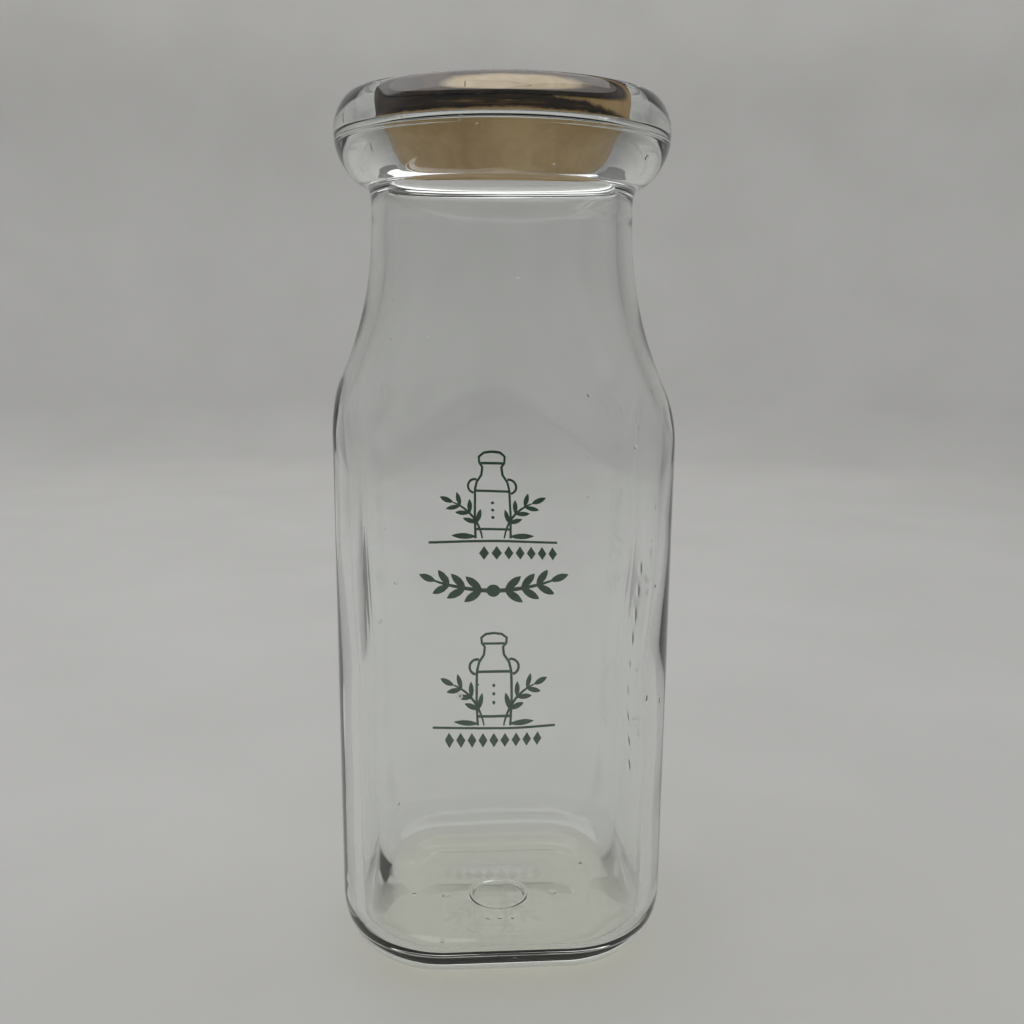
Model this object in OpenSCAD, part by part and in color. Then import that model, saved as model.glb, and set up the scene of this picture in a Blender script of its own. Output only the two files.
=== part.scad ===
// Square-bodied half-pint glass milk bottle with a plug cap.
// The bottle stands on z = 0, centred on the Z axis. The printed panel faces +Y.

/* [Body] */
// Width across the flats where the heel curve ends
heel_w = 56; // [52:0.5:60]
// Radius of the body's upright corners
corner_r = 18; // [14:0.5:21]
// Radius of the curve between the walls and the base
heel_r = 11.5; // [8:0.5:13]
// How far each panel leans outwards on its way up, in degrees
panel_lean = 0.4; // [0:0.1:0.8]
// Thickness of the glass in the walls
wall_t = 2.5; // [2:0.1:3.2]
// Thickness of the glass floor
floor_t = 7; // [5:0.5:8]
// Radius of the curve inside, between the walls and the floor
heel_in_r = 4.6; // [4:0.2:8]
// Depth of the hollow under the base
push_up = 0.8; // [0.6:0.1:1.6]

/* [Shoulder and neck] */
// Overall height to the top of the rim
bottle_h = 147; // [144:1:152]
// Outside radius of the neck
neck_r = 22.15; // [21:0.05:23]
// Height at which the shoulder runs into the neck
shoulder_top = 127; // [124:1:129]
// Radius of the hollow curve under the neck
flare_r = 65; // [55:1:75]
// Radius of the full curve at the top of the body
shoulder_r = 46; // [40:1:55]

/* [Rim] */
// Largest radius of the rim
rim_r = 28.3; // [27.8:0.1:28.4]
// Radius of the rim at its mould seam
seam_r = 28.1; // [27.6:0.1:28.2]
// Outside radius of the flat top of the rim
rim_top_r = 25.3; // [25.2:0.1:26.2]
// Height of the widest part of the rim
rim_wide_z = 141.4; // [141:0.2:143]
// Height of the mould seam
seam_z = 139.4; // [139:0.2:140.2]
// Height of the bottom of the rim
rim_low_z = 132.6; // [132:0.2:134]
// Radius of the bore in the mouth
mouth_r = 24.3; // [23.8:0.1:24.4]
// Depth of the cap's seat below the top
seat_depth = 5.7; // [5:0.1:6.4]
// Inside radius of the seat ledge
ledge_r = 20.2; // [19.8:0.1:20.6]

/* [Cap] */
// Radius of the cap, which lies loose on its ledge
cap_r = 21.2; // [20.8:0.1:23]
// Thickness of the cap's board
board_t = 2.1; // [1.2:0.1:2.6]
// Thickness of the printed top paper
paper_t = 0.4; // [0.2:0.05:0.5]
// Width of the pull tab
tab_w = 13; // [10:1:16]
// Length of the pull tab
tab_len = 17; // [14:1:20]
// Cut between the pull tab and the paper around it
tab_cut = 0.2; // [0.1:0.05:0.3]

/* [Print] */
// Thickness of the fired enamel
print_t = 0.1; // [0.05:0.05:0.2]
// Width of the enamel's lines
line_w = 0.5; // [0.35:0.05:0.7]
// Width of the two ruled lines
rule_w = 26.8; // [22:0.2:28]
// How far the artwork sits to the right of the panel's middle
print_right = 0.45; // [0:0.05:1]

/* [Hidden] */
$fn = 96;

glass = [0.82, 0.88, 0.86, 0.35];
enamel = [0.06, 0.33, 0.19];
kraft = [0.72, 0.58, 0.40];
cream = [0.90, 0.86, 0.76];

over = 1; // how far a cutting shape runs past what it cuts
core = heel_w / 2 - corner_r; // half the distance between the corner axes
lean = tan(panel_lean);
seat_z = bottle_h - seat_depth;
panel_w = heel_w / 2 + lean * (shoulder_top - heel_r);
wide_r = (panel_w - corner_r) * sqrt(2) + corner_r + over; // clears the body's corners

// Points round an arc from angle a0 to angle a1
function arc(cx, cy, r, a0, a1, n) =
    [for (i = [0:n]) let (a = a0 + (a1 - a0) * i / n) [cx + r * cos(a), cy + r * sin(a)]];

// A quarter of a squared-off ellipse from [x0, y0], where it runs upright, to [x1, y1], where it lies flat
function bulge(x0, y0, x1, y1, power, n) =
    [for (i = [0:n]) let (a = 90 * i / n)
        [x1 + (x0 - x1) * pow(cos(a), 2 / power), y0 + (y1 - y0) * pow(sin(a), 2 / power)]];

function reversed(p) = [for (i = [len(p) - 1:-1:0]) p[i]];

// Shoulder from the neck down to the body's widest radius, moved inwards by t
turn = acos(1 - (wide_r - neck_r) / (flare_r + shoulder_r));
shoulder_steps = 9;
flare_low_z = shoulder_top - flare_r * sin(turn);
flare_low_x = neck_r + flare_r * (1 - cos(turn));
body_top_z = flare_low_z - shoulder_r * sin(turn);
function shoulder(t) = concat(
    arc(neck_r + flare_r, shoulder_top, flare_r + t, 180, 180 + turn, shoulder_steps),
    reversed(arc(wide_r - shoulder_r, body_top_z, shoulder_r - t, 0, turn, shoulder_steps))
);

// Outside of the wall, from the middle of the base up, measured from a corner's axis and moved inwards by t
function wall_line(t, r, z0) = concat(
    [[0, z0]],
    arc(heel_w / 2 - core - t - r, z0 + r, r, -90, 0, 8),
    [[heel_w / 2 - core - t + lean * (bottle_h + over - heel_r), bottle_h + over], [0, bottle_h + over]]
);

// A solid with four round corners from one outline: four corner turns, four straight runs and a middle block
module round_square(line, half, low, high) {
    for (side = [0:3])
        rotate([0, 0, 90 * side]) {
            translate([half, half, 0])
                rotate_extrude(angle = 90)
                    polygon(line);
            translate([half, half, 0])
                rotate([90, 0, 0])
                    linear_extrude(2 * half)
                        polygon(line);
        }
    translate([-half, -half, low])
        cube([2 * half, 2 * half, high - low]);
}

ridge_w = 0.4; // the mould seam's fine ridge round the rim
ridge_h = 0.1;
lip_round = 0.7;
fillet_r = 1; // how far the rim starts outside the neck
fillet_h = 3.4; // how far below the rim the neck starts to open
rim_start_x = neck_r + fillet_r;

// Outline of the rim's outside, from the neck to the flat top
function rim_outside() = concat(
    [for (i = [0:5]) let (a = 15 * i) [neck_r + fillet_r * (1 - cos(a)), rim_low_z - fillet_h * (1 - sin(a))]],
    reversed(bulge(seam_r, seam_z - ridge_w, rim_start_x, rim_low_z, 1.5, 9)),
    [[seam_r + ridge_h, seam_z], [seam_r, seam_z + ridge_w / 2]],
    [[(seam_r + rim_r) / 2 + 0.05, (seam_z + rim_wide_z) / 2]],
    bulge(rim_r, rim_wide_z, rim_top_r, bottle_h, 1.7, 8)
);

// Everything turned on the Z axis on the outside: rim, neck and shoulder, then a plug wider than the body
module turned_outside() {
    rotate_extrude()
        polygon(concat(
            [[0, bottle_h]],
            reversed(rim_outside()),
            shoulder(0),
            [[wide_r, -over], [0, -over]]
        ));
}

throat_low_r = 19.75;
neck_in_r = neck_r - wall_t;

// Everything turned on the Z axis on the inside: mouth, seat ledge, throat, neck and shoulder
module turned_inside() {
    rotate_extrude()
        polygon(concat(
            [[0, bottle_h + over], [mouth_r + lip_round, bottle_h + over]],
            [[mouth_r + lip_round, bottle_h]],
            arc(mouth_r + lip_round, bottle_h - lip_round, lip_round, 90, 180, 4),
            [[mouth_r, seat_z], [ledge_r, seat_z], [throat_low_r, rim_low_z], [neck_in_r, rim_low_z - 3]],
            shoulder(wall_t),
            [[wide_r, floor_t - over], [0, floor_t - over]]
        ));
}

foot_in = heel_w / 2 - core - heel_r - 1.5; // edge of the hollow under the base, from a corner's axis
hollow_line = [[0, -over], [foot_in, -over], [foot_in, 0], [foot_in - 4, push_up], [0, push_up]];
mark_ring_r = 5;
mark_h = 0.3;
mark_pips = [[-10, 0], [10, 0], [-2.2, -8], [0, -8], [2.2, -8]];

// Plain marks moulded on the underside: one ring and a few pips
module base_marks() {
    translate([0, 0, push_up - mark_h])
        difference() {
            cylinder(h = 2 * mark_h, r = mark_ring_r + 0.4);
            translate([0, 0, -over])
                cylinder(h = 2 * mark_h + 2 * over, r = mark_ring_r - 0.4);
        }
    for (p = mark_pips)
        translate([p[0], p[1], push_up - mark_h])
            cylinder(h = 2 * mark_h, r = 0.6);
}

side_dots = 9; // plain raised dots up the +X panel
side_dots_z = 29;
side_dots_pitch = 4.6;
side_dot_r = 1;
side_dot_h = 0.2;

module side_marks() {
    for (i = [0:side_dots - 1])
        let (z = side_dots_z + i * side_dots_pitch)
            translate([heel_w / 2 + lean * (z - heel_r) - over, 0, z])
                rotate([0, 90, 0])
                    cylinder(h = over + side_dot_h, r = side_dot_r);
}

module glass_bottle() {
    color(glass)
        union() {
            difference() {
                intersection() {
                    turned_outside();
                    round_square(wall_line(0, heel_r, 0), core, 0, bottle_h + over);
                }
                intersection() {
                    turned_inside();
                    round_square(wall_line(wall_t, heel_in_r, floor_t), core, floor_t, bottle_h + over);
                }
                round_square(hollow_line, core, -over, push_up);
            }
            base_marks();
            side_marks();
        }
}

// Lays flat artwork, x to the right as seen from inside and y up the bottle, on the outside of the +Y panel
stand_off = 0.002;
module on_back_panel() {
    translate([0, heel_w / 2 + stand_off, heel_r])
        rotate([90 - panel_lean, 0, 0])
            translate([print_right, -heel_r, -print_t])
                linear_extrude(print_t)
                    children();
}

// Outline of a brush stroke along points p, where w(i) is its width at each point
function along(p, i) = p[min(i + 1, len(p) - 1)] - p[max(i - 1, 0)];
function across(p, i) = let (d = along(p, i)) [-d[1], d[0]] / norm(d);
function stroke(p, w) = concat(
    [for (i = [0:len(p) - 1]) p[i] + across(p, i) * w[i] / 2],
    [for (i = [len(p) - 1:-1:0]) p[i] - across(p, i) * w[i] / 2]
);
function even(p, w) = [for (i = [0:len(p) - 1]) w];
// Widths that swell from w0 at the ends to w1 in the middle
function swell(p, w0, w1) = [for (i = [0:len(p) - 1]) w0 + (w1 - w0) * sin(180 * i / (len(p) - 1))];

// A leaf between two arcs, from the origin along +X
module leaf(len, w) {
    r = (len * len / 4 + w * w / 4) / w;
    translate([len / 2, 0])
        intersection() {
            translate([0, r - w / 2])
                circle(r);
            translate([0, w / 2 - r])
                circle(r);
        }
}

clear_of_rule = 0.15; // bare glass between a churn and the rule under it
churn_h = 18.4;
churn_side = [[3.4, 0.2], [3.6, 5.4], [3.5, 10.6], [3.1, 12.3], [2.1, 13.8], [1.9, 15.4], [2.5, 16.2], [2.6, 17.4],
    [1.6, 18.2], [0, churn_h]];
sprig = arc(11.4, -1.2, 9.8, 172, 112, 12);
sprig_leaves = [[0.3, 1], [0.3, -1], [0.58, 1], [0.58, -1], [0.86, 1], [0.86, -1]];

// A milk churn drawn in line, standing between two sprigs
module churn_drawing() {
    for (side = [0, 1])
        mirror([side, 0]) {
            polygon(stroke(churn_side, even(churn_side, line_w)));
            let (handle = arc(3.5, 11.4, 1.5, 105, -78, 8))
                polygon(stroke(handle, even(handle, line_w)));
            translate([3.2, 0.55])
                rotate(4)
                    leaf(5.2, 1.2);
        }
    for (y = [2.1, 10.4])
        translate([-3.5, y - line_w / 2])
            square([7, line_w]);
    translate([-2.2, 15.9])
        square([4.4, line_w]);
    for (y = [4.6, 6.2, 7.8])
        translate([0, y])
            circle(0.32);
}

// One sprig that leans away from the churn, to the right
module sprig_drawing() {
    polygon(stroke(sprig, swell(sprig, 0.3, line_w)));
    for (s = sprig_leaves)
        let (i = round(s[0] * 12), d = along(sprig, i))
            translate(sprig[i])
                rotate(atan2(d[1], d[0]) + 42 * s[1])
                    leaf(3.1, 1);
    let (d = along(sprig, 12))
        translate(sprig[12])
            rotate(atan2(d[1], d[0]))
                leaf(3.2, 1.1);
}

module emblem() {
    churn_drawing();
    translate([0.4, 0])
        sprig_drawing();
    mirror([1, 0])
        translate([0.4, 0])
            sprig_drawing();
}

module bead_row(count, pitch, w, h) {
    for (i = [0:count - 1])
        translate([(i - (count - 1) / 2) * pitch, 0])
            polygon([[-w / 2, 0], [0, -h / 2], [w / 2, 0], [0, h / 2]]);
}

// Hanging garland: a curved stem with paired leaves on both sides of a round berry
garland_stem = arc(0, 32.6, 34, -112, -68, 24);
garland_leaves = [14, 17, 20];
module garland_drawing() {
    polygon(stroke(garland_stem, swell(garland_stem, 0.4, 0.9)));
    translate(garland_stem[12])
        circle(1.3);
    for (side = [0, 1])
        mirror([side, 0]) {
            for (i = garland_leaves, lean_out = [-40, 40])
                let (d = along(garland_stem, i))
                    translate(garland_stem[i])
                        rotate(atan2(d[1], d[0]) + lean_out)
                            leaf(4.4, 1.6);
            let (d = along(garland_stem, 24))
                translate(garland_stem[23])
                    rotate(atan2(d[1], d[0]))
                        leaf(4.4, 1.6);
        }
}

// Heights of the artwork, from the lowest bead row to the foot of the upper churn
lower_beads_z = 24.1;
lower_rule_z = 26.5;
garland_z = 55.8;
upper_beads_z = 63;
upper_rule_z = 65.4;
beads_right = 5.3; // the upper bead row stands right of the middle

module ruled_line(z) {
    color(enamel)
        on_back_panel()
            translate([-rule_w / 2, z])
                square([rule_w, line_w]);
}

module churn_on_rule(rule_z) {
    color(enamel)
        on_back_panel()
            translate([0, rule_z + line_w + clear_of_rule])
                emblem();
}

module bead_line(x, z, count) {
    color(enamel)
        on_back_panel()
            translate([x, z])
                bead_row(count, 2.35, 1.9, 3.2);
}

module print_upper_churn() churn_on_rule(upper_rule_z);
module print_upper_rule() ruled_line(upper_rule_z);
module print_upper_beads() bead_line(beads_right, upper_beads_z, 7);
module print_lower_churn() churn_on_rule(lower_rule_z);
module print_lower_rule() ruled_line(lower_rule_z);
module print_lower_beads() bead_line(0, lower_beads_z, 9);

module print_leaf_garland() {
    color(enamel)
        on_back_panel()
            translate([0, garland_z])
                garland_drawing();
}

tab_root_y = -13; // the fold that the tab turns on
tab_tip_y = tab_root_y + tab_len;

// Plan of the pull tab, grown by g on its sides and tip
module tab_plan(g) {
    translate([-tab_w / 2 - g, tab_root_y])
        square([tab_w + 2 * g, tab_len - tab_w / 2]);
    intersection() {
        translate([0, tab_tip_y - tab_w / 2])
            circle(tab_w / 2 + g);
        translate([-tab_w, tab_tip_y - tab_w / 2 - over])
            square([2 * tab_w, tab_w]);
    }
}

module cap_board() {
    color(kraft)
        translate([0, 0, seat_z])
            cylinder(h = board_t, r = cap_r);
}

module cap_top_paper() {
    color(cream)
        translate([0, 0, seat_z + board_t])
            difference() {
                cylinder(h = paper_t, r = cap_r);
                translate([0, 0, -over])
                    linear_extrude(paper_t + 2 * over)
                        tab_plan(tab_cut);
            }
}

module cap_pull_tab() {
    color(cream)
        translate([0, 0, seat_z + board_t])
            linear_extrude(paper_t)
                tab_plan(0);
}

glass_bottle();
print_upper_churn();
print_upper_rule();
print_upper_beads();
print_leaf_garland();
print_lower_churn();
print_lower_rule();
print_lower_beads();
cap_board();
cap_top_paper();
cap_pull_tab();
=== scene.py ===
"""Looks of the square half-pint glass milk bottle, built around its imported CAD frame."""
import math
import random

import bmesh
import bpy
import numpy as np
from mathutils import Matrix, Vector, noise

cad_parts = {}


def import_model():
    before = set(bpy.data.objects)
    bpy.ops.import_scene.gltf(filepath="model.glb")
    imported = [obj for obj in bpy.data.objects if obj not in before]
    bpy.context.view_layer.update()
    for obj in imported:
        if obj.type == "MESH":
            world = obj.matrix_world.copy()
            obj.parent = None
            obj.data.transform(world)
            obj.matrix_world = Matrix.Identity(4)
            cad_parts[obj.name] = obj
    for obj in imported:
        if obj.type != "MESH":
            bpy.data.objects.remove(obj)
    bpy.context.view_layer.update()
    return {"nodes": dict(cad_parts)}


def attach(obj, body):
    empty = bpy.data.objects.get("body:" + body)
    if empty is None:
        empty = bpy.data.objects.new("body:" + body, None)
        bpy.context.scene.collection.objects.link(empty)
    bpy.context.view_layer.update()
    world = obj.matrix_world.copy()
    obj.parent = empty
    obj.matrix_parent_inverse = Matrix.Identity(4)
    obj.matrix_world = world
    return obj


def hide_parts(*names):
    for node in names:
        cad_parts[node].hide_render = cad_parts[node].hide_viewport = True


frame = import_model()

MM = 0.001
rng = random.Random(7)

# ---------------------------------------------------------------- sizes, in millimetres
HEIGHT = 147.0
CAP_R = 21.2
SEAT_Z = 141.3
BOARD_T = 2.1
BOARD_EDGE = 0.25  # how far the board's pressed edge bulges
PAPER_T = 0.4
TAB_W = 13.0
TAB_ROOT_Y = -13.0
TAB_LEN = 17.0
TAB_CUT = 0.2
ROOT_GAP = 0.05  # keeps the raised tab clear of the paper behind its crease
BOARD_TOP_Z = SEAT_Z + BOARD_T

HEEL_W = 56.0
CORNER_R = 18.0
HEEL_R = 11.5
FOOT_W = 1.5  # the flat ring that the bottle stands on
LEAN = math.tan(math.radians(0.4))
CORE = HEEL_W / 2 - CORNER_R
FLOOR_T = 7.0
FLOOR_TILT = 0.06
PUSH_UP = 0.7
HEEL_IN = 4.6
NECK_R = 22.15
SHOULDER_TOP = 127.0
FLARE_R = 65.0
SHOULDER_R = 46.0
RIM_R = 28.3
RIM_TOP_R = 25.3
RIM_WIDE_Z = 141.4
RIM_SEAM_R = 28.1
RIM_LOW_Z = 132.6
RIM_TOP_POWER = 1.7
RIM_LOW_POWER = 1.5
FILLET_R = 1.0
FILLET_H = 3.4
RIM_START_R = NECK_R + FILLET_R
MOUTH_R = 24.3
LEDGE_R = 20.2
THROAT_END_Z = 127.5
NECK_WALL = 2.65
WALL_HIGH = 2.2
WALL_LOW = 3.2
SETTLE_Z = 62.0
SETTLE_HALF = 14.0
SEAM_Z = 139.4

PANEL_W = HEEL_W / 2 + LEAN * (SHOULDER_TOP - HEEL_R)
WIDE_R = (PANEL_W - CORNER_R) * math.sqrt(2) + CORNER_R + 1.0
TURN = math.acos(1 - (WIDE_R - NECK_R) / (FLARE_R + SHOULDER_R))
FLARE_LOW_Z = SHOULDER_TOP - FLARE_R * math.sin(TURN)
BODY_TOP_Z = FLARE_LOW_Z - SHOULDER_R * math.sin(TURN)
DOTS = 9
DOTS_Z = 29.0
DOTS_PITCH = 4.6
DOT_R = 1.0
FAR = 60.0  # a radius that never trims the square body
SPLIT_Z = 78.0  # the body's rings are closer together below this height
LIP = 0.7  # rounding of the rim's inner edge
SEAT_IN = 0.25  # rounding where the bore meets the seat
SEAT_OUT = 0.5  # rounding where the seat meets the throat


# ---------------------------------------------------------------- small helpers
def smooth(t):
    t = min(max(t, 0.0), 1.0)
    return t * t * (3 - 2 * t)


def soft_min(a, b, k):
    h = np.clip(0.5 + 0.5 * (b - a) / k, 0, 1)
    return b * (1 - h) + a * h - k * h * (1 - h)


def spread(n):
    return [i / n for i in range(n + 1)]


def wall_half(z):
    """Half the width across the flats at height z."""
    return HEEL_W / 2 + LEAN * (z - HEEL_R)


def shoulder_radius(z, inset=0.0):
    """Radius of the round shoulder at height z, moved inwards by inset."""
    if z >= SHOULDER_TOP:
        return NECK_R - inset
    flare_low = SHOULDER_TOP - (FLARE_R + inset) * math.sin(TURN)
    if z >= flare_low:
        return NECK_R + FLARE_R - math.sqrt((FLARE_R + inset) ** 2 - (SHOULDER_TOP - z) ** 2)
    if z >= BODY_TOP_Z:
        r = SHOULDER_R - inset
        return WIDE_R - SHOULDER_R + math.sqrt(max(r * r - (z - BODY_TOP_Z) ** 2, 0.0))
    return WIDE_R - inset


def square_polar(theta, core, corner):
    """Distance from the axis to a round-cornered square, for an array of directions."""
    t = np.abs((theta + math.pi / 4) % (math.pi / 2) - math.pi / 4)
    half = core + corner
    flat = half / np.cos(t)
    b = core * (np.cos(t) + np.sin(t))
    turned = b + np.sqrt(np.maximum(b * b - 2 * core * core + corner * corner, 0))
    return np.where(half * np.tan(t) <= core, flat, turned)


def bulge(r0, z0, r1, z1, power, n):
    """A quarter of a squared-off ellipse, upright at its start and flat at its end."""
    out = []
    for s in spread(n):
        a = math.pi / 2 * s
        out.append((r1 + (r0 - r1) * math.cos(a) ** (2 / power), z0 + (z1 - z0) * math.sin(a) ** (2 / power)))
    return out


# ---------------------------------------------------------------- the bottle's path: base, rim, inner floor
def base_marks(x, y):
    """How far the moulded ring and pips stand down from the underside."""
    drop = np.zeros_like(x)
    ring = np.hypot(x, y) - 5.0
    drop += 0.15 * np.exp(-((ring / 0.35) ** 4))
    for px, py in ((-10, 0), (10, 0), (-2.2, -8), (0, -8), (2.2, -8)):
        drop += 0.15 * np.exp(-((np.hypot(x - px, y - py) / 0.55) ** 4))
    return drop


def hollow(x, y):
    """Height of the shallow hollow under the base."""
    edge = CORE + HEEL_W / 2 - CORE - HEEL_R - FOOT_W
    d = np.clip((np.abs(x / edge) ** 3 + np.abs(y / edge) ** 3) ** (1 / 3), 0, 1)
    return PUSH_UP * (1 - d * d * (3 - 2 * d)) * (d < 1)


def side_dots(x, y, z):
    """How far the raised dots stand out of the +X panel at height z."""
    step = (z - DOTS_Z) / DOTS_PITCH
    near = min(max(round(step), 0), DOTS - 1)
    away = np.hypot(y, z - DOTS_Z - near * DOTS_PITCH)
    return np.where(x > 0, 0.075 * np.exp(-((away / DOT_R) ** 2.0)), 0.0)


def outside_path():
    """Rings (core, corner radius, round radius, height) up the outside."""
    rings = []
    foot = HEEL_W / 2 - CORE - HEEL_R
    inner_foot = foot - FOOT_W
    for s in spread(70)[1:]:
        rings.append((CORE * s, inner_foot * s, FAR, 0.0, "base"))
    for s in spread(3)[1:]:
        rings.append((CORE, inner_foot + FOOT_W * s, FAR, 0.0, "foot"))
    for s in spread(26)[1:]:
        a = math.pi / 2 * s
        rings.append((CORE, foot + HEEL_R * math.sin(a), FAR, HEEL_R * (1 - math.cos(a)), "out"))
    for s in spread(220)[1:]:
        z = HEEL_R + (SPLIT_Z - HEEL_R) * s
        rings.append((CORE, wall_half(z) - CORE, shoulder_radius(z), z, "out"))
    for s in spread(64)[1:]:
        z = SPLIT_Z + (RIM_LOW_Z - FILLET_H - SPLIT_Z) * s
        rings.append((CORE, wall_half(z) - CORE, shoulder_radius(z), z, "out"))
    return rings


def rim_path():
    """(radius, height) from the neck, over the rim, to the seat ledge and down the throat."""
    line = []
    lower = bulge(RIM_SEAM_R, SEAM_Z, RIM_START_R, RIM_LOW_Z, RIM_LOW_POWER, 40)[::-1]
    for s in spread(14)[1:]:
        widened = (RIM_R - RIM_SEAM_R) * math.sin(math.pi / 2 * s)
        lower.append((RIM_SEAM_R + widened, SEAM_Z + (RIM_WIDE_Z - SEAM_Z) * s))
    for s in spread(8)[1:-1]:
        a = math.pi / 2 * s
        line.append((NECK_R + FILLET_R * (1 - math.cos(a)), RIM_LOW_Z - FILLET_H * (1 - math.sin(a))))
    for r, z in lower:
        line.append((r + seam(z), z))
    for r, z in bulge(RIM_R, RIM_WIDE_Z, RIM_TOP_R, HEIGHT, RIM_TOP_POWER, 22)[1:]:
        line.append((r, z))
    for s in spread(4)[1:]:
        line.append((RIM_TOP_R + (MOUTH_R + LIP - RIM_TOP_R) * s, HEIGHT))
    for s in spread(8)[1:]:
        a = math.pi / 2 * s
        line.append((MOUTH_R + LIP * (1 - math.sin(a)), HEIGHT - LIP * (1 - math.cos(a))))
    for s in spread(8)[1:]:
        line.append((MOUTH_R, HEIGHT - LIP + (SEAT_Z + SEAT_IN - HEIGHT + LIP) * s))
    for s in spread(4)[1:]:
        a = math.pi / 2 * s
        line.append((MOUTH_R - SEAT_IN * (1 - math.cos(a)), SEAT_Z + SEAT_IN - SEAT_IN * math.sin(a)))
    for s in spread(5)[1:]:
        line.append((MOUTH_R - SEAT_IN + (LEDGE_R + SEAT_OUT - MOUTH_R + SEAT_IN) * s, SEAT_Z))
    for s in spread(5)[1:]:
        a = math.pi / 2 * s
        line.append((LEDGE_R + SEAT_OUT * (1 - math.sin(a)), SEAT_Z - SEAT_OUT * (1 - math.cos(a))))
    neck_in = NECK_R - NECK_WALL
    for s in spread(22)[1:]:
        z = SEAT_Z - SEAT_OUT + (THROAT_END_Z - SEAT_Z + SEAT_OUT) * s
        t = (SEAT_Z - z) / (SEAT_Z - THROAT_END_Z)
        r = LEDGE_R + (neck_in - LEDGE_R) * smooth(t)
        line.append((r, z))
    return line


def seam(z):
    """The mould seam's fine ridge round the rim."""
    return 0.07 * math.exp(-(((z - SEAM_Z) / 0.16) ** 2))


def wall_inset(z):
    """Thickness of the wall: thin above the settle wave, thick below it, the neck's own at the top."""
    body = WALL_HIGH + (WALL_LOW - WALL_HIGH) * (1 - smooth((z - SETTLE_Z + SETTLE_HALF) / (2 * SETTLE_HALF)))
    return body + (NECK_WALL - body) * smooth((z - 92) / 30)


def inside_path():
    """Rings down the inside, from the neck to the middle of the floor."""
    rings = []
    top = THROAT_END_Z
    heel = HEEL_IN
    low = FLOOR_T + heel
    for s in spread(60)[1:]:
        z = top + (SPLIT_Z - top) * s
        t = wall_inset(z)
        rings.append((CORE, wall_half(z) - CORE - t, shoulder_radius(z, t), z, "in"))
    for s in spread(48)[1:]:
        z = SPLIT_Z + (low - SPLIT_Z) * s
        t = wall_inset(z)
        rings.append((CORE, wall_half(z) - CORE - t, shoulder_radius(z, t), z, "in"))
    edge = wall_half(low) - CORE - wall_inset(low)
    for s in spread(22)[1:]:
        a = math.pi / 2 * s
        rings.append((CORE, edge - heel * (1 - math.cos(a)), FAR, low - heel * math.sin(a), "in"))
    for s in spread(24)[1:-1]:
        scale = 1 - s
        rings.append((CORE * scale, (edge - heel) * scale, FAR, FLOOR_T, "floor"))
    return rings


def settle(co, amount, size, seed):
    """Moves points along the radius by smooth noise, as hand-worked glass wanders."""
    out = np.zeros(len(co))
    for i, p in enumerate(co):
        if seed == OUT_SEED and p[1] > PRINT_SIDE:
            continue
        out[i] = noise.noise(Vector((p[0] / size + seed, p[1] / size, p[2] / size)))
    return out * amount


COLUMNS = 320
OUT_SEED = 8.4
PRINT_SIDE = 26.5  # the outside stays true from here on, under the enamel


def bottle_mesh():
    theta = np.arange(COLUMNS) * 2 * math.pi / COLUMNS
    rings = outside_path()
    rings += [(0, 0, r, z, "rim") for r, z in rim_path()]
    rings += inside_path()
    rows = []
    for core, corner, around, z, part in rings:
        if part == "rim":
            radius = np.full(COLUMNS, around)
        else:
            radius = square_polar(theta, core, corner)
            radius = soft_min(radius, np.full(COLUMNS, around), 0.9)
        x, y = radius * np.cos(theta), radius * np.sin(theta)
        height = np.full(COLUMNS, z)
        if part == "base":
            height = hollow(x, y) - base_marks(x, y)
        if part == "out":
            x = x + side_dots(x, y, z)
        if part in ("in", "floor"):
            height = height + FLOOR_TILT * y * (1 - smooth((z - FLOOR_T) / 14))
        rows.append(np.stack([x, y, height], 1))
    co = np.concatenate(rows)
    kinds = [ring[4] for ring in rings for _ in range(COLUMNS)]
    amount = np.array([{"in": 0.16, "out": 0.035, "rim": 0.02}.get(k, 0.0) for k in kinds])
    size = {"in": 15.0, "out": 24.0, "rim": 12.0}
    wander = np.zeros(len(co))
    for kind, seed in (("in", 3.1), ("out", OUT_SEED), ("rim", 5.2)):
        pick = np.array([k == kind for k in kinds])
        wander[pick] = settle(co[pick], 1.0, size[kind], seed)
    length = np.hypot(co[:, 0], co[:, 1])
    scale = 1 + wander * amount / np.maximum(length, 1)
    co[:, 0] *= scale
    co[:, 1] *= scale
    count = len(rings)
    verts = [tuple(p * MM) for p in co]
    verts.append((0, 0, PUSH_UP * MM))
    verts.append((0, 0, FLOOR_T * MM))
    faces = []
    for j in range(count - 1):
        a, b = j * COLUMNS, (j + 1) * COLUMNS
        for i in range(COLUMNS):
            k = (i + 1) % COLUMNS
            faces.append((a + i, a + k, b + k, b + i))
    first, last = len(co), len(co) + 1
    top = (count - 1) * COLUMNS
    for i in range(COLUMNS):
        k = (i + 1) % COLUMNS
        faces.append((first, k, i))
        faces.append((last, top + i, top + k))
    mesh = bpy.data.meshes.new("bottle_glass")
    mesh.from_pydata(verts, [], faces)
    mesh.shade_smooth()
    return mesh


def link(name, mesh):
    obj = bpy.data.objects.new(name, mesh)
    bpy.context.scene.collection.objects.link(obj)
    return obj


# ---------------------------------------------------------------- materials
def material(name):
    mat = bpy.data.materials.new(name)
    mat.use_nodes = True
    tree = mat.node_tree
    return mat, tree, tree.nodes["Principled BSDF"]


def node(tree, kind, **values):
    made = tree.nodes.new(kind)
    for key, value in values.items():
        if key in made.inputs:
            made.inputs[key].default_value = value
        else:
            setattr(made, key, value)
    return made


def grey(v):
    return (v, v, v, 1)


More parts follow.
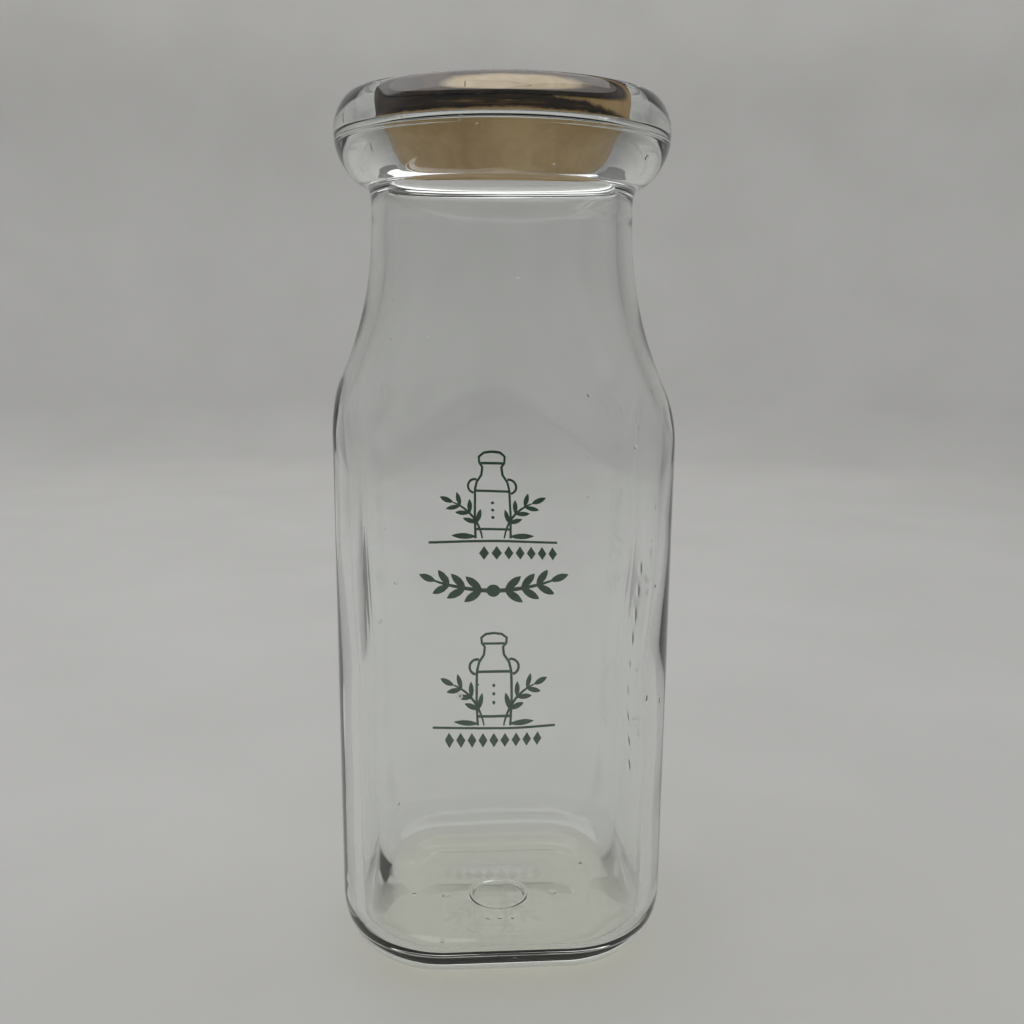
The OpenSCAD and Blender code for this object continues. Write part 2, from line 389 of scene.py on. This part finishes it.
def calc(tree, operation, first, second):
    """A Math node; second may be a socket or a plain number."""
    made = node(tree, "ShaderNodeMath", operation=operation)
    tree.links.new(first, made.inputs[0])
    if isinstance(second, (int, float)):
        made.inputs[1].default_value = second
    else:
        tree.links.new(second, made.inputs[1])
    return made.outputs[0]


def scaled_sum(tree, value, factor, addend):
    """value * factor + addend, where value and addend are sockets."""
    made = node(tree, "ShaderNodeMath", operation="MULTIPLY_ADD")
    tree.links.new(value, made.inputs[0])
    made.inputs[1].default_value = factor
    tree.links.new(addend, made.inputs[2])
    return made.outputs[0]


def remap(tree, value, low, high, to_low=0.0, to_high=1.0, soft=False):
    """A Map Range node from low..high to to_low..to_high."""
    made = node(tree, "ShaderNodeMapRange",
                **{"From Min": low, "From Max": high, "To Min": to_low, "To Max": to_high})
    if soft:
        made.interpolation_type = "SMOOTHSTEP"
    tree.links.new(value, made.inputs["Value"])
    return made.outputs[0]


def flat_vector(tree, split):
    """The x and y of a Separate XYZ node, with z at 0."""
    made = node(tree, "ShaderNodeCombineXYZ")
    tree.links.new(split.outputs[0], made.inputs[0])
    tree.links.new(split.outputs[1], made.inputs[1])
    return made.outputs[0]


def ramp(tree, source, stops):
    made = tree.nodes.new("ShaderNodeValToRGB")
    elements = made.color_ramp.elements
    while len(elements) < len(stops):
        elements.new(0.5)
    for element, (place, colour) in zip(elements, stops):
        element.position = place
        element.color = colour
    tree.links.new(source, made.inputs[0])
    return made.outputs[0]


def glass_material():
    """Clear soda glass with a faint green depth, which lets the lamps' light through to the floor."""
    mat, tree, shader = material("clear_glass")
    shader.inputs["Roughness"].default_value = 0.0
    shader.inputs["IOR"].default_value = 1.52
    shader.inputs["Transmission Weight"].default_value = 1.0
    place = node(tree, "ShaderNodeTexCoord")
    ripple = node(tree, "ShaderNodeTexNoise", Scale=70.0, Detail=2.0)
    tree.links.new(place.outputs["Object"], ripple.inputs["Vector"])
    seeds = node(tree, "ShaderNodeTexVoronoi", Scale=110.0)
    tree.links.new(place.outputs["Object"], seeds.inputs["Vector"])
    specks = ramp(tree, seeds.outputs["Distance"], [
        (0.0, grey(1)), (0.025, grey(1)), (0.055, grey(0)), (1.0, grey(0))])
    waves = node(tree, "ShaderNodeBump", Strength=1.0, Distance=0.00002)
    tree.links.new(ripple.outputs["Fac"], waves.inputs["Height"])
    dents = node(tree, "ShaderNodeBump", Strength=1.0, Distance=0.00012)
    tree.links.new(specks, dents.inputs["Height"])
    tree.links.new(waves.outputs[0], dents.inputs["Normal"])
    tree.links.new(dents.outputs[0], shader.inputs["Normal"])
    tint = ramp(tree, ripple.outputs["Fac"], [(0.3, (0.975, 0.99, 0.982, 1)), (0.7, (0.99, 0.998, 0.995, 1))])
    tree.links.new(tint, shader.inputs["Base Color"])
    volume = node(tree, "ShaderNodeVolumeAbsorption", Color=(0.79, 0.85, 0.75, 1), Density=9.0)
    out = tree.nodes["Material Output"].inputs
    tree.links.new(volume.outputs[0], out["Volume"])
    rays = node(tree, "ShaderNodeLightPath")
    clear = node(tree, "ShaderNodeBsdfTransparent", Color=(0.845, 0.84, 0.805, 1))
    both = node(tree, "ShaderNodeMixShader")
    tree.links.new(rays.outputs["Is Shadow Ray"], both.inputs[0])
    tree.links.new(shader.outputs[0], both.inputs[1])
    tree.links.new(clear.outputs[0], both.inputs[2])
    tree.links.new(both.outputs[0], out["Surface"])
    return mat


def enamel_material():
    """Matt green ceramic print with a fine grain."""
    mat, tree, shader = material("green_enamel")
    place = node(tree, "ShaderNodeTexCoord")
    grain = node(tree, "ShaderNodeTexNoise", Scale=900.0, Detail=4.0)
    tree.links.new(place.outputs["Object"], grain.inputs["Vector"])
    colour = ramp(tree, grain.outputs["Fac"], [
        (0.3, (0.001, 0.075, 0.024, 1)), (0.75, (0.004, 0.150, 0.055, 1))])
    tree.links.new(colour, shader.inputs["Base Color"])
    shader.inputs["Roughness"].default_value = 0.45
    shader.inputs["Specular IOR Level"].default_value = 0.1
    bump = node(tree, "ShaderNodeBump", Strength=0.25, Distance=0.00003)
    tree.links.new(grain.outputs["Fac"], bump.inputs["Height"])
    tree.links.new(bump.outputs[0], shader.inputs["Normal"])
    return mat


def kraft_material():
    """Tan fibrous board with a streaky dark band round its edge, lower towards +X."""
    mat, tree, shader = material("kraft_board")
    place = node(tree, "ShaderNodeTexCoord")
    fibre = node(tree, "ShaderNodeTexNoise", Scale=420.0, Detail=8.0, Roughness=0.7)
    cloud = node(tree, "ShaderNodeTexNoise", Scale=90.0, Detail=3.0)
    tree.links.new(place.outputs["Object"], fibre.inputs["Vector"])
    tree.links.new(place.outputs["Object"], cloud.inputs["Vector"])
    both = scaled_sum(tree, fibre.outputs["Fac"], 0.6, cloud.outputs["Fac"])
    colour = ramp(tree, both, [(0.55, (0.60, 0.37, 0.14, 1)), (1.0, (0.90, 0.64, 0.31, 1))])
    split = node(tree, "ShaderNodeSeparateXYZ")
    tree.links.new(place.outputs["Object"], split.inputs[0])
    # mask for a streaky dark band round the board's edge, its top lower towards +X
    height = scaled_sum(tree, fibre.outputs["Fac"], 0.8 * MM, split.outputs[2])
    above = remap(tree, height, (SEAT_Z + 1.05) * MM, (SEAT_Z + 1.35) * MM)
    slope = remap(tree, split.outputs[0], 4 * MM, 21 * MM, 0.0, 1.4 * MM)
    lifted = calc(tree, "ADD", height, slope)
    below = remap(tree, lifted, (SEAT_Z + 2.5) * MM, (SEAT_Z + 2.8) * MM, 1.0, 0.0)
    share = calc(tree, "MULTIPLY", above, below)
    edge_band = node(tree, "ShaderNodeMix", data_type="RGBA")
    tree.links.new(share, edge_band.inputs["Factor"])
    tree.links.new(colour, edge_band.inputs[6])
    streak_place = node(tree, "ShaderNodeMapping")
    streak_place.inputs["Scale"].default_value = (60, 60, 1500)
    tree.links.new(place.outputs["Object"], streak_place.inputs["Vector"])
    streak = node(tree, "ShaderNodeTexNoise", Scale=1.0, Detail=6.0, Roughness=0.7)
    tree.links.new(streak_place.outputs[0], streak.inputs["Vector"])
    dark = ramp(tree, streak.outputs["Fac"], [
        (0.42, (0.008, 0.004, 0.002, 1)), (0.56, (0.05, 0.024, 0.010, 1)), (0.70, (0.40, 0.24, 0.10, 1))])
    tree.links.new(dark, edge_band.inputs[7])
    tree.links.new(edge_band.outputs[2], shader.inputs["Base Color"])
    shader.inputs["Roughness"].default_value = 0.85
    bump = node(tree, "ShaderNodeBump", Strength=0.4, Distance=0.0001)
    tree.links.new(fibre.outputs["Fac"], bump.inputs["Height"])
    tree.links.new(bump.outputs[0], shader.inputs["Normal"])
    return mat


def paper_material():
    """Cream waxed paper with a worn dark ring printed near its edge."""
    mat, tree, shader = material("cream_paper")
    place = node(tree, "ShaderNodeTexCoord")
    split = node(tree, "ShaderNodeSeparateXYZ")
    tree.links.new(place.outputs["Object"], split.inputs[0])
    radius = node(tree, "ShaderNodeVectorMath", operation="LENGTH")
    offset = node(tree, "ShaderNodeVectorMath", operation="SUBTRACT")
    tree.links.new(flat_vector(tree, split), offset.inputs[0])
    offset.inputs[1].default_value = (0.0016, 0.0004, 0)
    tree.links.new(offset.outputs[0], radius.inputs[0])
    scuff = node(tree, "ShaderNodeTexNoise", Scale=260.0, Detail=6.0, Roughness=0.65)
    tree.links.new(place.outputs["Object"], scuff.inputs["Vector"])
    wobble = scaled_sum(tree, scuff.outputs["Fac"], 4.2 * MM, radius.outputs["Value"])
    print_ring = ramp(tree, calc(tree, "DIVIDE", wobble, CAP_R * MM), [
        (0.0, grey(0)), (0.88, grey(0)), (0.96, grey(1)), (1.0, grey(1))])
    base = ramp(tree, scuff.outputs["Fac"], [(0.3, (0.46, 0.34, 0.19, 1)), (0.7, (0.70, 0.57, 0.38, 1))])
    ink = ramp(tree, scuff.outputs["Fac"], [
        (0.42, (0.020, 0.012, 0.008, 1)), (0.75, (0.12, 0.065, 0.035, 1))])
    mix = node(tree, "ShaderNodeMix", data_type="RGBA")
    tree.links.new(print_ring, mix.inputs["Factor"])
    tree.links.new(base, mix.inputs[6])
    tree.links.new(ink, mix.inputs[7])
    tree.links.new(mix.outputs[2], shader.inputs["Base Color"])
    shader.inputs["Roughness"].default_value = 0.5
    bump = node(tree, "ShaderNodeBump", Strength=0.3, Distance=0.00006)
    tree.links.new(scuff.outputs["Fac"], bump.inputs["Height"])
    tree.links.new(bump.outputs[0], shader.inputs["Normal"])
    return mat


def put_material(obj, mat):
    obj.data.materials.clear()
    obj.data.materials.append(mat)


# ---------------------------------------------------------------- pieces
GLASS = glass_material()
ENAMEL = enamel_material()
KRAFT = kraft_material()
PAPER = paper_material()

bottle = link("bottle_glass", bottle_mesh())
put_material(bottle, GLASS)
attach(bottle, "bottle")
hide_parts("glass_bottle")

for name, obj in frame["nodes"].items():
    if name.startswith("print_"):
        put_material(obj, ENAMEL)


# ---------------------------------------------------------------- the plug cap
def closed_layers(rows, columns, co, name):
    """One closed skin from rows of points that start and end on the axis side of a ring or a strip."""
    faces = []
    for j in range(rows):
        a, b = j * columns, ((j + 1) % rows) * columns
        for i in range(columns):
            k = (i + 1) % columns
            faces.append((a + i, a + k, b + k, b + i))
    mesh = bpy.data.meshes.new(name)
    mesh.from_pydata([tuple(p * MM) for p in co], [], faces)
    return mesh


def sag(x, y):
    """The cap's gentle dome and its slow waves, in millimetres."""
    r = math.hypot(x, y)
    wave = noise.noise(Vector((x / 9, y / 9, 4.2)))
    return 0.22 * (1 - (r / CAP_R) ** 2) + 0.10 * wave


def board_mesh():
    """The kraft disc, with a soft, slightly fibrous edge."""
    columns = 240
    flat_r = CAP_R - BOARD_EDGE
    top = [flat_r * s for s in spread(22)[1:]]
    edge = [(flat_r + BOARD_EDGE * math.sin(math.pi * s), 0.5 + 0.5 * math.cos(math.pi * s))
            for s in spread(8)[1:-1]]
    rings = [(r, 1.0) for r in top] + edge + [(r, 0.0) for r in reversed(top)]
    co = []
    for r, share in rings:
        for i in range(columns):
            a = 2 * math.pi * i / columns
            x, y = r * math.cos(a), r * math.sin(a)
            rough = noise.noise(Vector((x * 1.3, y * 1.3, share * 3)))
            fray = 1 + 0.0035 * rough * smooth((r - CAP_R + 2) / 2)
            lift = sag(x, y) if share > 0 else 0.0
            lift = lift * (1 - smooth((r - 17) / 5))
            co.append(Vector((x * fray, y * fray, SEAT_Z + BOARD_T * share + max(lift, 0) * 0.3)))
    faces = []
    count = len(rings)
    for j in range(count - 1):
        a, b = j * columns, (j + 1) * columns
        faces += [(a + i, b + i, b + (i + 1) % columns, a + (i + 1) % columns) for i in range(columns)]
    co.append(Vector((0, 0, BOARD_TOP_Z + 0.05)))
    co.append(Vector((0, 0, SEAT_Z)))
    first, last = len(co) - 2, len(co) - 1
    faces += [(first, i, (i + 1) % columns) for i in range(columns)]
    low = (count - 1) * columns
    faces += [(last, low + (i + 1) % columns, low + i) for i in range(columns)]
    mesh = bpy.data.meshes.new("cap_disc")
    mesh.from_pydata([tuple(p * MM) for p in co], [], faces)
    mesh.shade_smooth()
    return mesh


def tab_outline(grow, n):
    """Distances from the tab's middle to its outline, grown on its sides and tip, for n directions."""
    middle = TAB_ROOT_Y + TAB_LEN / 2
    half = TAB_W / 2 + grow
    arc_y = TAB_ROOT_Y + TAB_LEN - TAB_W / 2
    out = []
    for i in range(n):
        a = 2 * math.pi * i / n
        dx, dy = math.cos(a), math.sin(a)
        reach = []
        if abs(dx) > 1e-9:
            reach.append(half / abs(dx))
        if dy < -1e-9:
            reach.append((TAB_ROOT_Y - middle) / dy)
        best = min(reach) if reach else 99.0
        b = dy * (middle - arc_y)
        c = (middle - arc_y) ** 2 - half * half
        tip = -b + math.sqrt(max(b * b - c, 0))
        if middle + dy * min(best, tip) > arc_y:
            best = tip
        out.append((dx, dy, best))
    return middle, out


def paper_mesh():
    """The printed top paper round the tab's cut."""
    columns, steps = 360, 12
    middle, inner = tab_outline(TAB_CUT, columns)
    layers = [(s, 0.0) for s in spread(steps)] + [(s, 1.0) for s in reversed(spread(steps))]
    co = []
    for s, share in layers:
        for dx, dy, near in inner:
            b = dy * middle
            far = -b + math.sqrt(b * b - middle * middle + (CAP_R - 0.05) ** 2)
            d = near + (far - near) * s
            x, y = dx * d, middle + dy * d
            edge = 0.06 * (1 - smooth((CAP_R - math.hypot(x, y)) / 0.4))
            co.append(Vector((x, y, BOARD_TOP_Z + 0.02 + share * PAPER_T - (edge if share else 0))))
    mesh = closed_layers(len(layers), columns, co, "cap_paper")
    mesh.shade_smooth()
    mesh.set_sharp_from_angle(angle=math.radians(40))
    return mesh


def tab_mesh():
    """The pull tab, with its tip curled up a little."""
    rows, columns = 60, 18
    half_line = []
    arc_y = TAB_ROOT_Y + TAB_LEN - TAB_W / 2
    for s in spread(rows):
        y = TAB_ROOT_Y + ROOT_GAP + (TAB_LEN - 0.02 - ROOT_GAP) * math.sin(math.pi / 2 * s)
        half = TAB_W / 2 if y <= arc_y else math.sqrt(max((TAB_W / 2) ** 2 - (y - arc_y) ** 2, 0.0004))
        half_line.append((y, half))
    co, faces = [], []
    across = spread(columns)
    for share in (0.0, 1.0):
        for y, half in half_line:
            t = (y - TAB_ROOT_Y) / TAB_LEN
            for u in across:
                x = half * (2 * u - 1)
                curl = 0.55 * t ** 2.4 * (1 - 0.15 * (2 * u - 1) ** 2)
                co.append(Vector((x, y, BOARD_TOP_Z + 0.02 + share * PAPER_T + curl)))
    w = columns + 1
    layer = w * (rows + 1)
    for j in range(rows):
        for i in range(columns):
            a = j * w + i
            faces.append((a, a + w, a + w + 1, a + 1))
            faces.append((layer + a, layer + a + 1, layer + a + w + 1, layer + a + w))
    for j in range(rows):
        a = j * w
        faces.append((a, layer + a, layer + a + w, a + w))
        a += columns
        faces.append((a, a + w, layer + a + w, layer + a))
    for i in range(columns):
        faces.append((i, i + 1, layer + i + 1, layer + i))
        a = rows * w + i
        faces.append((a, layer + a, layer + a + 1, a + 1))
    mesh = bpy.data.meshes.new("cap_tab")
    mesh.from_pydata([tuple(p * MM) for p in co], [], faces)
    mesh.shade_smooth()
    mesh.set_sharp_from_angle(angle=math.radians(40))
    return mesh


def piece(name, mesh, mat, body, cad_node):
    obj = link(name, mesh)
    put_material(obj, mat)
    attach(obj, body)
    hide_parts(cad_node)
    return obj


piece("cap_disc", board_mesh(), KRAFT, "cap", "cap_board")
piece("cap_paper", paper_mesh(), PAPER, "cap", "cap_top_paper")
piece("cap_tab", tab_mesh(), PAPER, "pull_tab", "cap_pull_tab")


# ---------------------------------------------------------------- floor, backdrop, light and camera
SWEEP_START = 0.60
SWEEP_CURVE = 0.30
SWEEP_TOP = 0.75
FLOOR_Z = -0.00005  # a hair under the base, so that no two faces coincide


def sweep_mesh():
    """A round floor that curves up into a plain wall on every side."""
    line = [(SWEEP_START * s, FLOOR_Z) for s in spread(24)[1:]]
    for s in spread(24)[1:]:
        a = math.pi / 2 * s
        line.append((SWEEP_START + SWEEP_CURVE * math.sin(a), FLOOR_Z + SWEEP_CURVE * (1 - math.cos(a))))
    line.append((SWEEP_START + SWEEP_CURVE, SWEEP_TOP))
    n = 96
    verts = [(0, 0, FLOOR_Z)]
    for r, z in line:
        verts += [(r * math.cos(2 * math.pi * i / n), r * math.sin(2 * math.pi * i / n), z) for i in range(n)]
    faces = [(0, 1 + i, 1 + (i + 1) % n) for i in range(n)]
    for j in range(len(line) - 1):
        a, b = 1 + j * n, 1 + (j + 1) * n
        faces += [(a + i, b + i, b + (i + 1) % n, a + (i + 1) % n) for i in range(n)]
    mesh = bpy.data.meshes.new("floor")
    mesh.from_pydata(verts, [], faces)
    mesh.shade_smooth()
    return mesh


def floor_material():
    """Pale matt surface with painted shade: its brightness falls off gently with height, to the sides and
    behind the camera.
    """
    mat, tree, shader = material("pale_floor")
    place = node(tree, "ShaderNodeTexCoord")
    cloud = node(tree, "ShaderNodeTexNoise", Scale=14.0, Detail=4.0)
    tree.links.new(place.outputs["Object"], cloud.inputs["Vector"])
    colour = ramp(tree, cloud.outputs["Fac"], [
        (0.3, (0.735, 0.73, 0.712, 1)), (0.7, (0.78, 0.775, 0.757, 1))])
    split = node(tree, "ShaderNodeSeparateXYZ")
    tree.links.new(place.outputs["Object"], split.inputs[0])
    reach = node(tree, "ShaderNodeVectorMath", operation="LENGTH")
    tree.links.new(flat_vector(tree, split), reach.inputs[0])
    # painted shade: full brightness behind the bottle, darker to the sides and darkest behind the camera,
    # faded in from 0.30 m out
    side = node(tree, "ShaderNodeMath", operation="ABSOLUTE")
    tree.links.new(split.outputs[0], side.inputs[0])
    turned = calc(tree, "DIVIDE", calc(tree, "ARCTAN2", side.outputs[0], split.outputs[1]), math.pi)
    around = ramp(tree, turned, [(0.0, grey(1.0)), (0.19, grey(1.0)), (0.40, grey(0.50)), (1.0, grey(0.42))])
    wall = remap(tree, reach.outputs["Value"], 0.30, 0.75, soft=True)
    front = node(tree, "ShaderNodeMix", data_type="RGBA")
    tree.links.new(wall, front.inputs["Factor"])
    front.inputs[6].default_value = grey(1.0)
    tree.links.new(around, front.inputs[7])
    # painted shade by height: darker where the floor bends up into the wall, lighter towards the wall's top
    painted_height_shade = ramp(tree, remap(tree, split.outputs[2], 0.0, 0.4), [
        (0.0, grey(0.83)), (0.015, grey(0.77)), (0.10, grey(0.72)),
        (0.28, grey(0.78)), (0.64, grey(0.88)), (0.90, grey(1.0))])
    toned = node(tree, "ShaderNodeMix", data_type="RGBA", blend_type="MULTIPLY")
    toned.inputs["Factor"].default_value = 1.0
    tree.links.new(colour, toned.inputs[6])
    tree.links.new(painted_height_shade, toned.inputs[7])
    shade = node(tree, "ShaderNodeMix", data_type="RGBA", blend_type="MULTIPLY")
    shade.inputs["Factor"].default_value = 1.0
    # painted shade: dimmed further on the camera's side (-Y), to give the glass darker edges
    behind = remap(tree, split.outputs[1], -0.09, -0.30, 1.0, 0.62, soft=True)
    dimmed = node(tree, "ShaderNodeVectorMath", operation="SCALE")
    tree.links.new(toned.outputs[2], dimmed.inputs[0])
    tree.links.new(behind, dimmed.inputs["Scale"])
    tree.links.new(dimmed.outputs[0], shade.inputs[6])
    tree.links.new(front.outputs[2], shade.inputs[7])
    tree.links.new(shade.outputs[2], shader.inputs["Base Color"])
    shader.inputs["Roughness"].default_value = 0.7
    shader.inputs["Specular IOR Level"].default_value = 0.3
    return mat


floor = link("floor", sweep_mesh())
put_material(floor, floor_material())


def world():
    made = bpy.data.worlds.new("studio")
    bpy.context.scene.world = made
    made.use_nodes = True
    made.node_tree.nodes["Background"].inputs["Color"].default_value = (1, 1, 1, 1)
    made.node_tree.nodes["Background"].inputs["Strength"].default_value = 0.12


def softbox(name, place, aim, width, height, power):
    light = bpy.data.lights.new(name, "AREA")
    light.shape = "RECTANGLE"
    light.size = width
    light.size_y = height
    light.energy = power
    obj = bpy.data.objects.new(name, light)
    bpy.context.scene.collection.objects.link(obj)
    obj.location = place
    obj.rotation_mode = "QUATERNION"
    obj.rotation_quaternion = (Vector(aim) - Vector(place)).to_track_quat("-Z", "Y")
    return obj


world()
softbox("top_light", (-0.10, 0.10, 1.0), (0, 0, 0.05), 1.5, 1.5, 9.3)

SENSOR = 36.0
CAM_LENS = 40.43
CAM_DISTANCE = 0.2022
CAM_HEIGHT = 0.1122
CAM_RIGHT = 0.0021
CAM_PITCH = math.radians(9.93)
CAM_ROLL = math.radians(0.45)
BOTTLE_TURN = math.radians(4.44)


def make_camera():
    data = bpy.data.cameras.new("camera")
    data.sensor_width = SENSOR
    data.lens = CAM_LENS
    data.clip_start = 0.005
    data.clip_end = 20
    cam = bpy.data.objects.new("camera", data)
    bpy.context.scene.collection.objects.link(cam)
    right = Vector((1, 0, 0))
    up = Vector((0, math.sin(CAM_PITCH), math.cos(CAM_PITCH)))
    back = Vector((0, -math.cos(CAM_PITCH), math.sin(CAM_PITCH)))
    rolled_right = right * math.cos(CAM_ROLL) + up * math.sin(CAM_ROLL)
    rolled_up = up * math.cos(CAM_ROLL) - right * math.sin(CAM_ROLL)
    turn = Matrix.Rotation(-BOTTLE_TURN, 3, "Z")
    axes = Matrix([turn @ rolled_right, turn @ rolled_up, turn @ back]).transposed()
    place = turn @ Vector((CAM_RIGHT, -CAM_DISTANCE, CAM_HEIGHT))
    cam.matrix_world = Matrix.Translation(place) @ axes.to_4x4()
    bpy.context.scene.camera = cam


make_camera()
bpy.context.scene.view_settings.view_transform = "Standard"
